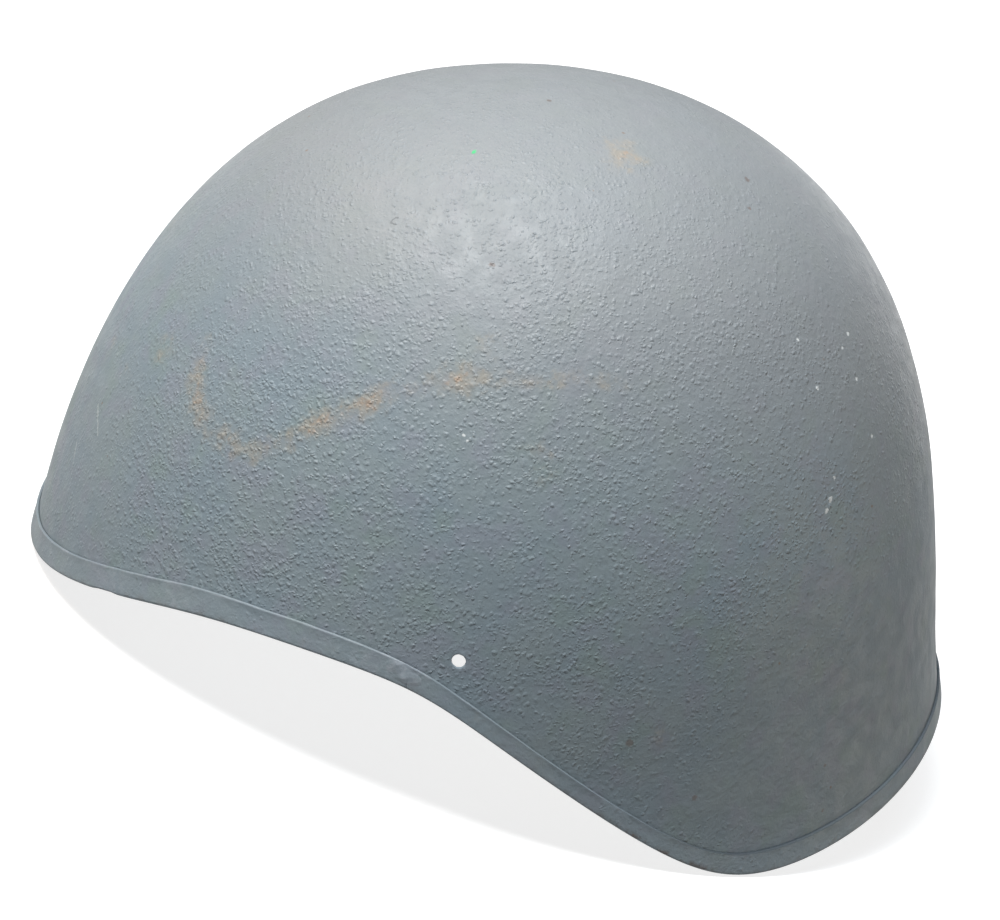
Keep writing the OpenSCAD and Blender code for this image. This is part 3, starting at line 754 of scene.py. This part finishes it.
def wall_pad(side, seed, n=40, rows=9):
    """A square grid bent into a rounded square for the face and the back, and rows of points between them."""
    mid, span, low, high = PAD_PLACE[side]
    thick = PAD_T[side]
    s = sind(90 * (2 * np.arange(n + 1) / n - 1))
    u, v = np.meshgrid(s, s, indexing="ij")
    r = np.maximum(np.abs(u), np.abs(v))
    p = squareness(u, v)
    k = np.where(p > 1e-6, r / np.maximum(p, 1e-6), 1)
    u, v = u * k, v * k

    def at(u, v, d, rough):
        a, b = mid + span * u, (low + high) / 2 + (high - low) / 2 * v
        q = under(a, b, d)
        worn = rough * smooth(squareness(u, v), 0.72, 0.97)
        wave = 0.55 * noise(q, 19, seed + 2) + 0.22 * noise(q, 6, seed + 3)
        sunk = rough * (0.25 + np.maximum(0, -wave) + 0.35 * np.maximum(0, wave))
        return under(a, b, d - sunk - worn * bites(q, seed, 1.6, 2.4))

    hollow = 1.8 * np.maximum(0, 1 - r * r) ** 2
    face = at(u, v, BED + thick * swell(r) - hollow, np.ones_like(r))
    back = at(u, v, np.full_like(r, BED), np.zeros_like(r))
    m = (n + 1) ** 2
    faces = grid_faces(n + 1, n + 1) + grid_faces(n + 1, n + 1, flip=True, base=m)
    rim_ij = outline(0, n, 0, n)
    prev = [i * (n + 1) + j for i, j in rim_ij]
    last = [m + i for i in prev]
    ru, rv = np.array([u[ij] for ij in rim_ij]), np.array([v[ij] for ij in rim_ij])
    wall = []
    for w in range(1, rows):
        share = w / rows
        pull = 1 - 0.016 * sin(pi * share)
        deep = np.full(len(prev), BED + thick * 0.4 * (1 - share))
        ring = at(ru * pull, rv * pull, deep, 0 * deep)
        out = ring - ring.mean(0)
        far = np.linalg.norm(out, axis=1, keepdims=True)
        ring = ring + 0.35 * noise(ring, 5, seed + 4)[:, None] * out / far
        base = 2 * m + len(wall)
        now = list(range(base, base + len(prev)))
        wall.extend(ring)
        faces.extend(band(prev, now))
        prev = now
    faces.extend(band(prev, last))
    verts = np.concatenate([face.reshape(-1, 3), back.reshape(-1, 3), np.array(wall)])
    edge = np.concatenate([smooth(r, 0.78, 1.0).reshape(-1), np.zeros(r.size), np.full(len(wall), 0.8)])
    finish_pad(side, verts, faces, edge)


def crown_pad(n_t=120, n=24, rows=8):
    """A round pad, as rings from the middle of its face out, down the side and back in."""
    thick = PAD_T["crown"]
    t = np.arange(n_t) * 360.0 / n_t
    high = CROWN - CROWN_PAD_DROP * (1 - sind(90 * np.arange(n) / n))
    depth = BED + thick * swell(1 - np.arange(n) / n)
    rings, edge = [], []

    def ring(z, d, rough, e):
        z, d = np.full(n_t, z), np.full(n_t, d)
        q = under(t, z, d)
        wave = 0.5 * noise(q, 19, 40) + 0.2 * noise(q, 6, 41)
        sunk = 0.2 + np.maximum(0, -wave) + 0.35 * np.maximum(0, wave) + e * bites(q, 42, 1.5, 2.2)
        rings.append(under(t, z, d - rough * sunk))
        edge.append(np.full(n_t, e))

    for i in range(n - 1, -1, -1):
        ring(high[i], depth[i], 1.0, smooth(1 - i / n, 0.75, 1.0))
    for w in range(1, rows):
        ring(high[0] + 0.35 * sin(pi * w / rows), BED + thick * 0.4 * (1 - w / rows), 0.0, 0.8)
    for i in range(n):
        ring(high[i], BED, 0.0, 0.0)
    m = len(rings)
    poles = [[0, CROWN_SHIFT, CROWN - BED - thick + 0.3], [0, CROWN_SHIFT, CROWN - BED]]
    faces = grid_faces(n_t, m, closed=True)
    for i in range(n_t):
        a, b = i * m, ((i + 1) % n_t) * m
        faces.append([n_t * m, a, b])
        faces.append([a + m - 1, n_t * m + 1, b + m - 1])
    verts = np.concatenate([np.stack(rings, 1).reshape(-1, 3), poles])
    finish_pad("crown", verts, faces, np.append(np.stack(edge, 1), [0, 0]))


for number, side in enumerate(PAD_PLACE):
    wall_pad(side, 50 + 7 * number)
crown_pad()


# ---------------- chin strap
# In the loop's own frame, in millimetres
PIVOT, LOOP = np.array([0.0, -1.22224, 43.4144]), radians(15.6523)
LEG_START, LEG = np.array([127.313, 25.8]), radians(136.909)
CHIN_Y, CHIN_R = 60.0, 62.0
WEB_W, WEB_T = 19.8, 1.7


def loop(p):
    """Points of the loop's frame in the row frame's metres."""
    return (turned(p, -LOOP) + PIVOT) / 1000


def on_leg(points, side=1):
    """Points of the leg's frame (x down the strap, y towards the face) in the loop's plane."""
    return (LEG_START + turned(points, LEG)) * [side, 1]


def rounded_path(points, step=0.9):
    """Evenly spaced points of the path with its corners cut three times, and their distances along it."""
    p = np.asarray(points, float)
    for _ in range(3):
        q = np.empty((2 * len(p) - 2, 2))
        q[0::2], q[1::2] = p[:-1] * 0.75 + p[1:] * 0.25, p[:-1] * 0.25 + p[1:] * 0.75
        p = np.vstack([p[:1], q, p[-1:]])
    s = np.concatenate([[0], np.cumsum(np.linalg.norm(np.diff(p, axis=0), axis=1))])
    at = np.linspace(0, s[-1], max(3, int(s[-1] / step)))
    return np.stack([np.interp(at, s, p[:, 0]), np.interp(at, s, p[:, 1])], -1), at


def webbing():
    """Cotton webbing in plain weave, faded and dusty."""
    T = Tree("khaki_cotton_webbing")
    drift = T.mul(T.math("SUBTRACT", T.noise(7, 2), 0.5), 0.7)
    u = T.math("ADD", T.math("DIVIDE", T.attr("along"), 1.25), drift)
    v = T.math("ADD", T.math("DIVIDE", T.attr("across"), 1.05), T.mul(drift, 0.4))
    parity = T.math("FLOORED_MODULO", T.math("ADD", T.math("FLOOR", u), T.math("FLOOR", v)), 2.0)
    hu = T.math("SINE", T.mul(T.math("FRACT", u), pi))
    hv = T.math("SINE", T.mul(T.math("FRACT", v), pi))
    warp = T.mul(T.math("POWER", hv, 0.6), T.line(hu, 0.5, 0.5))
    weft = T.mul(T.math("POWER", hu, 0.6), T.line(hv, 0.45, 0.35))
    height = T.math("ADD", T.mul(warp, T.math("SUBTRACT", 1.0, parity)), T.mul(weft, parity))
    fuzz = T.noise(0.32, 3, 0.7)
    bumped = T.bump(fuzz, 0.12, 0.6, T.bump(height, 0.26, 0.95))
    base = T.mix(T.patches(26, 4, 0.5, 0.35, 0.65), srgb(126, 120, 94), srgb(144, 136, 108))
    base = T.over(
        base, (srgb(170, 160, 130), T.patches(1.1, 2, 0.5, 0.4, 0.75), 0.3),
        # Darker where the weave lies low between the yarns: painted shade
        (srgb(70, 66, 50), T.math("SUBTRACT", 1.0, height), 0.55),
        (srgb(88, 76, 56), T.patches(11, 5, 0.65, 0.55, 0.72), 0.4))
    soil = T.mul(T.attr("soil"), T.patches(6, 4, 0.6, 0.3, 0.6))
    return T.done(T.over(base, (srgb(74, 64, 48), soil, 0.6)), 0.9, bumped)


def thread():
    T = Tree("waxed_linen_thread")
    twist = T.noise(0.35, 2)
    base = T.mix(T.patches(3, 3, 0.5, 0.35, 0.65), srgb(146, 136, 104), srgb(172, 162, 128))
    base = T.over(base, (srgb(96, 86, 62), T.ramp(twist, 0.4, 0.6), 0.4))
    return T.done(base, 0.75, T.bump(twist, 0.12, 0.8))


WEBBING, THREAD = webbing(), thread()


def ribbon(name, path, node, seed, soil_at):
    """Closed strip of webbing along a path, with rolled edges and a light ripple."""
    p, s = rounded_path(path)
    tangent = np.gradient(p, axis=0)
    tangent /= np.linalg.norm(tangent, axis=1, keepdims=True)
    lift = np.stack([-tangent[:, 1], tangent[:, 0]], -1)
    half = np.array([0, 0.25, 0.5, 0.7, 0.86, 0.925, 0.965, 0.988, 1])
    c = np.concatenate([-half[:0:-1], half])
    rolled = np.clip((np.abs(c) - 0.925) / 0.075, 0, 1)
    up = WEB_T / 2 * np.sqrt(1 - rolled ** 2) * (0.93 + 0.07 * smooth(np.abs(c), 0.8, 0.92))
    section = [*zip(c, up), *zip(c[-2:0:-1], -up[-2:0:-1])]
    n, m = len(p), len(section)
    verts, along, across, soil = [], [], [], []
    for i in range(n):
        for a, h in section:
            z = a * WEB_W / 2
            q = np.array([p[i, 0], p[i, 1], z])
            ripple = 0.10 * noise(q, 17, seed) + 0.05 * noise(q, 5, seed + 1)
            edge_wave = 0.12 * noise(q + [0, 0, 50], 9, seed + 2) * abs(a)
            x, y = p[i] + lift[i] * (h + ripple)
            verts.append((x, y, z + edge_wave * np.sign(a) - 0.06 * np.sign(a)))
            along.append(s[i])
            across.append(z)
            soil.append(soil_at(s[i] / s[-1]))
    rings = np.arange(n * m).reshape(n, m).tolist()
    faces = stacked(rings) + [rings[0][::-1], rings[-1]]
    make(name, loop(verts), faces, [WEBBING], "chin_strap", "webbing", node,
         along=along, across=across, soil=soil)


def soiled(*places):
    """Dirt where the strap is handled: share of its length, spread, strength."""
    return lambda k: max(high * exp(-((k - at) / wide) ** 2) for at, wide, high in places)


RIGHT_END = [
    # the end folded back under the stitches, and round the hanger's bar
    (33, 2), (20, 2), (8, 2.05), (2.2, 2.4), (-0.5, 3.6), (-3.2, 6.5), (-4.3, 7.2), (-5.6, 6.6), (-6.7, 4.15),
    (-6.3, 3.2), (-4, 1.3), (-1.6, -1), (-0.4, -0.9), (2, -0.1),
    # down the leg
    (6, 0), (30, 0), (70, 0), (108, 0)]
CHIN = [(CHIN_R * cos(radians(a)), CHIN_Y + CHIN_R * sin(radians(a)))
        for a in np.linspace(133.09, 46.91, 26)]
LEFT_END = [(108, 0), (70, 0), (40, 0), (16.4, 0)]
CHAPE = [
    # the upper end, round the hanger's bar
    (22, 5.2), (16, 5.2), (8, 4.0), (2.4, 2.5), (-0.5, 3.7), (-3.2, 6.5), (-4.3, 7.2), (-5.6, 6.6),
    (-6.7, 4.15), (-6.3, 3.2), (-4, 1.3), (-1.6, -1), (-0.3, -0.9), (2.5, 0.0), (9, 1.95), (14, 3.1),
    (20, 3.2), (30, 3.2),
    # the lower end, round the buckle's bar
    (44, 3.2), (47.5, 2.9), (50, 2.3), (54.4, 2.3), (55.3, 3.2), (55.3, 5.2), (54.4, 6.1), (50, 6.1),
    (47.5, 5.5), (44, 5.2), (34, 5.2), (24, 5.2)]
LONG_PATH = np.vstack([on_leg(RIGHT_END, -1), CHIN, on_leg(LEFT_END)])
ribbon("long_strap_webbing", LONG_PATH, "right_strap", 3, soiled((0.56, 0.09, 1), (0.93, 0.05, 0.8)))
ribbon("short_strap_webbing", on_leg(CHAPE), "left_strap", 9, soiled((0.75, 0.1, 0.7)))

# A stitch as rings: place along it from -1 to 1, radius and height over the webbing in mm. Then its tips
STITCH = [(-0.82, 0.17, -0.06), (-0.45, 0.25, 0.06), (0, 0.27, 0.1), (0.45, 0.25, 0.06), (0.82, 0.17, -0.06)]
STITCH_TIPS = [(-1, 0, -0.25), (1, 0, -0.25)]
STITCH_HALF, STITCH_STEP = 1.05, 2.9


def stitches(name, side, box, faces_y, n=6):
    """Thread in a box with a cross, on both outer faces of the sewn layers."""
    x0, x1, z = box
    corners = [(x0, -z), (x1, -z), (x1, z), (x0, z)]
    runs = [(corners[i], corners[(i + 1) % 4]) for i in range(4)]
    runs += [(corners[i], corners[i + 2]) for i in (0, 1)]
    verts, faces = [], []

    def put(s, r, h, w):
        x, z = centre + d * s * STITCH_HALF + np.array([-d[1], d[0]]) * r * cos(w)
        verts.append((*on_leg((x, y + up * (h + r * 0.7 * sin(w))), side), z))

    for y, up in faces_y:
        for a, b in runs:
            a, b = np.array(a, float), np.array(b, float)
            length = np.linalg.norm(b - a)
            d = (b - a) / length
            count = int(round(length / STITCH_STEP))
            for i in range(count):
                centre = a + d * length * (i + 0.5) / count
                base, m = len(verts), len(STITCH)
                for s, r, h in STITCH:
                    for q in range(n):
                        put(s, r, h, 2 * pi * q / n)
                for s, r, h in STITCH_TIPS:
                    put(s, r, h, 0)
                rings = [[base + k * n + q for q in range(n)] for k in range(m)]
                faces.extend(stacked(rings))
                first, last, tips = rings[0], rings[-1], base + m * n
                for q in range(n):
                    faces.append([tips, first[(q + 1) % n], first[q]])
                    faces.append([last[q], last[(q + 1) % n], tips + 1])
    make(name, loop(verts), faces, [THREAD], "chin_strap", "webbing")


stitches("long_strap_stitches", -1, (7, 31, 7), ((2.86, 1), (-0.86, -1)))
stitches("short_strap_stitches", 1, (25.5, 42, 7), ((6.03, 1), (2.36, -1)))


# ---------------- metal
def brass():
    T = Tree("aged_brass")
    base = T.mix(T.patches(9, 5, 0.6, 0.35, 0.68), srgb(150, 128, 80), srgb(112, 94, 60))
    dark = T.patches(2.4, 5, 0.68, 0.54, 0.70)
    base = T.over(base, (srgb(70, 60, 44), dark, 0.7))
    green = T.mul(T.patches(5.2, 4, 0.7, 0.60, 0.70), T.patches(1.1, 3, 0.5, 0.45, 0.6))
    base = T.over(base, (srgb(98, 126, 108), green, 0.7))
    rub = T.noise(1 / 0.9, 4, at=T.fed("Mapping", T.obj, None, None, (1, 1, 9)))
    base = T.over(base, (srgb(190, 168, 116), T.ramp(rub, 0.55, 0.7), 0.35))
    rough = T.math("ADD", T.patches(3, 4, 0.5, 0.3, 0.7, 0.34, 0.5), T.mul(dark, 0.18))
    metal = T.math("SUBTRACT", 1.0, T.mul(green, 0.8))
    return T.done(base, rough, T.bump(rub, 0.06, 0.6, T.bump(T.noise(1.3, 4), 0.08, 0.7)), metal)


def steel():
    T = Tree("dull_steel")
    base = T.mix(T.patches(8, 5, 0.6, 0.35, 0.68), srgb(128, 129, 128), srgb(98, 98, 97))
    rust = T.patches(3.4, 5, 0.68, 0.53, 0.68)
    base = T.over(
        base, (srgb(116, 76, 50), rust, 0.75),
        (srgb(64, 56, 50), T.patches(1.0, 3, 0.5, 0.58, 0.7), 0.4))
    rough = T.math("ADD", T.patches(3, 4, 0.5, 0.3, 0.7, 0.4, 0.56), T.mul(rust, 0.3))
    metal = T.math("SUBTRACT", 0.92, T.mul(rust, 0.75))
    return T.done(base, rough, T.bump(T.noise(0.9, 4, 0.6), 0.12, 0.8), metal)


BRASS, DULL_STEEL = brass(), steel()


def dressed(node, name, material, body, bevel=0.22):
    """The node's own shape with its edges eased and the finish on it."""
    me = NODES[node].data.copy()
    me.materials.clear()
    me.materials.append(material)
    bm = bmesh.new()
    bm.from_mesh(me)
    bmesh.ops.remove_doubles(bm, verts=bm.verts, dist=1e-6)
    bmesh.ops.dissolve_limit(bm, angle_limit=radians(1), verts=bm.verts, edges=bm.edges)
    edges = [e for e in bm.edges if len(e.link_faces) == 2 and e.calc_face_angle(0) > radians(32)]
    bmesh.ops.bevel(bm, geom=edges, offset=bevel / 1000, segments=2, profile=0.5,
                    affect="EDGES", clamp_overlap=True)
    bmesh.ops.dissolve_degenerate(bm, dist=1e-7, edges=bm.edges)
    bm.to_mesh(me)
    bm.free()
    me.polygons.foreach_set("use_smooth", [True] * len(me.polygons))
    me.polygons.foreach_set("material_index", [0] * len(me.polygons))
    me.set_sharp_from_angle(angle=radians(38))
    placed(name, me, body, node)


for side in ("left", "right"):
    dressed(side + "_hanger", side + "_brass_hanger", BRASS, "chin_strap")
    dressed(side + "_lug", side + "_folded_lug", DULL_STEEL, "helmet")
    dressed(side + "_rivet", side + "_pivot_rivet", DULL_STEEL, "helmet", 0.12)
dressed("buckle_frame", "buckle_plate", BRASS, "chin_strap")
dressed("buckle_pin", "buckle_hinge_pin", BRASS, "chin_strap", 0.3)
dressed("buckle_lever", "buckle_cam_lever", BRASS, "cam_lever")
dressed("strap_keeper", "sliding_keeper", BRASS, "keeper")
dressed("strap_tip", "strap_end_tip", BRASS, "chin_strap", 0.15)

# Lug foot: its two upright edges and its top, as y and z in mm
FOOT_Y, FOOT_Z = (3.0, 17.0), (4.5, 18.0)
BEAD_R = 1.15


def lug_welds(name, side, n=8):
    """Beads of weld along the two upright edges and the top of a lug's foot."""
    verts, faces = [], []
    lines = [([(y, z) for z in np.arange(FOOT_Z[0], FOOT_Z[1] + 0.3, 0.5)], [0, 0, 1.0]) for y in FOOT_Y]
    lines.append(([(y, FOOT_Z[1]) for y in np.arange(FOOT_Y[0], FOOT_Y[1] + 0.3, 0.5)], [0, 1.0, 0]))
    for line, along in lines:
        rings = []
        for i, (y, z) in enumerate(line):
            t = t_at(y, z, 1)
            p = under(t, z, STEEL + 0.3)
            q = under(t, z, STEEL + 1.3) - p
            q = q / np.linalg.norm(q)
            across = np.cross(along, q)
            taper = min(1, (i + 0.6) / 3, (len(line) - i - 0.4) / 3) ** 0.5
            ripple = 1 + 0.12 * cos(i * 2.1) + 0.22 * noise(p, 2.2, 31)
            r = BEAD_R * taper * ripple
            rings.append([len(verts) + k for k in range(n)])
            for k in range(n):
                w = 2 * pi * k / n
                point = p + across * r * cos(w) + q * (r * 0.85 * sin(w) + 0.25)
                verts.append(point * [side, 1, 1])
        faces.extend(stacked(rings) + [rings[0][::-1], rings[-1]])
    make(name, rest(verts), faces, [DULL_STEEL], "helmet", "bare_steel")


lug_welds("left_lug_weld_beads", 1)
lug_welds("right_lug_weld_beads", -1)


# ---------------- camera, floor, light
# The camera as fitted to the photograph, in the upright frame: degrees, millimetres and pixels
CAM_AZIMUTH, CAM_HEIGHT, CAM_ROLL = -0.531, 22.999, -5.177
CAM_EYE = (787.93, 0.544, 349.25)
CAM_FOCAL, PHOTO_WIDTH, SENSOR = 2473.3, 1000, 36


def frame_axes():
    """The picture's right, up and back as directions of the resting frame."""
    az, el, roll = radians(CAM_AZIMUTH), radians(CAM_HEIGHT), radians(CAM_ROLL)
    back = np.array([cos(el) * cos(az), cos(el) * sin(az), sin(el)])
    right = np.cross(-back, [0, 0, 1.0])
    right /= np.linalg.norm(right)
    up = np.cross(right, -back)
    c, s = cos(roll), sin(roll)
    return [(rest(v) - rest(np.zeros(3))) * 1000 for v in (c * right + s * up, -s * right + c * up, back)]


RIGHT, UP, BACK = frame_axes()
camera = bpy.data.cameras.new("camera")
camera.sensor_width = SENSOR
camera.sensor_fit = "HORIZONTAL"
camera.lens = CAM_FOCAL / PHOTO_WIDTH * SENSOR
camera.clip_start, camera.clip_end = 0.01, 50
eye = bpy.data.objects.new("camera", camera)
eye.matrix_world = Matrix([*np.stack([RIGHT, UP, BACK, rest(CAM_EYE)], 1).tolist(), (0, 0, 0, 1)])
scene.collection.objects.link(eye)
scene.camera = eye


def floor_material():
    T = Tree("pale_floor")
    T.t.nodes.remove(T.bsdf)
    ray = T.node("LightPath").outputs
    shade = T.fed("BsdfDiffuse", T.mix(ray["Is Camera Ray"], (0.2, 0.2, 0.2), (0.42, 0.42, 0.42)))
    glow = T.fed("Emission", (1, 1, 1), T.ramp(T.vec("LENGTH", T.obj), 0.16, 0.5, 0.80, 1.0))
    seen = T.highest([ray["Is Camera Ray"], ray["Is Glossy Ray"]])
    above = T.fed("MixShader", seen, shade, T.fed("AddShader", shade, glow))
    # Seen from below the floor is clear, so that the inside can be looked at
    below = T.node("NewGeometry").outputs["Backfacing"]
    T.put(T.out.inputs["Surface"], T.fed("MixShader", below, above, T.fed("BsdfTransparent")))
    return T.mat


def build_floor(half=6.0, n=12):
    me = bpy.data.meshes.new("floor")
    at = [-half + 2 * half * i / n for i in range(n + 1)]
    me.from_pydata([(x, y, 0.0) for x in at for y in at], [], grid_faces(n + 1, n + 1, flip=True))
    me.materials.append(floor_material())
    o = bpy.data.objects.new("floor", me)
    scene.collection.objects.link(o)


build_floor()

LAMP_FAR = 1.6
LAMPS = [  # name, direction, size, watts, colour if not white
    ("key_light", (-0.14, 0.9, 0.7), 0.3, 18.5),
    ("upper_light", (0.0, 1.0, 0.75), 0.5, 12, (0.93, 1.0, 1.0)),
    ("upper_left_light", (-0.45, 1.0, 0.25), 0.6, 7, (1.0, 0.80, 0.62)),
    ("upper_right_light", (0.3, 1.0, 0.5), 0.9, 6.5, (0.77, 0.86, 1.0)),
    ("edge_light", (1.0, -0.35, 0.0), 0.4, 3.6, (1.0, 0.82, 0.6)),
    ("rear_left_light", (-0.7, 0.3, -1.0), 1.0, 6),
    ("rear_right_light", (0.7, 0.3, -1.0), 1.0, 6)]


def lamp(name, direction, size, watts, colour=(1, 1, 1), distance=LAMP_FAR):
    """A round soft light, aimed at the helmet. direction is (right, up, back) of the picture."""
    d = direction[0] * RIGHT + direction[1] * UP + direction[2] * BACK
    d = d / np.linalg.norm(d)
    light = bpy.data.lights.new(name, "AREA")
    light.shape = "DISK"
    light.size = size
    light.energy = watts
    light.color = colour
    o = bpy.data.objects.new(name, light)
    at = np.array([0, 0, 0.1]) + d * distance
    o.location = at
    o.rotation_euler = (Vector((0, 0, 0.1)) - Vector(at)).to_track_quat("-Z", "Y").to_euler()
    scene.collection.objects.link(o)
    return o


for row in LAMPS:
    lamp(*row)

# A fill light that lies on the table inside the dome, so that its inside shows from below
fill = lamp("inside_light", (-RIGHT[2], -UP[2], -BACK[2]), 0.2, 0.26, distance=0.097)
fill.visible_camera = False

# The world: white to the camera, and a weak light to everything else
world = bpy.data.worlds.new("studio")
scene.world = world
world.use_nodes = True
W = world.node_tree
W.nodes.clear()
blend = W.nodes.new("ShaderNodeMixShader")
for socket, strength in ((1, 0.04), (2, 1.0)):
    white = W.nodes.new("ShaderNodeBackground")
    white.inputs["Color"].default_value = (1, 1, 1, 1)
    white.inputs["Strength"].default_value = strength
    W.links.new(white.outputs[0], blend.inputs[socket])
W.links.new(W.nodes.new("ShaderNodeLightPath").outputs["Is Camera Ray"], blend.inputs[0])
W.links.new(blend.outputs[0], W.nodes.new("ShaderNodeOutputWorld").inputs["Surface"])

scene.view_settings.view_transform = "Standard"
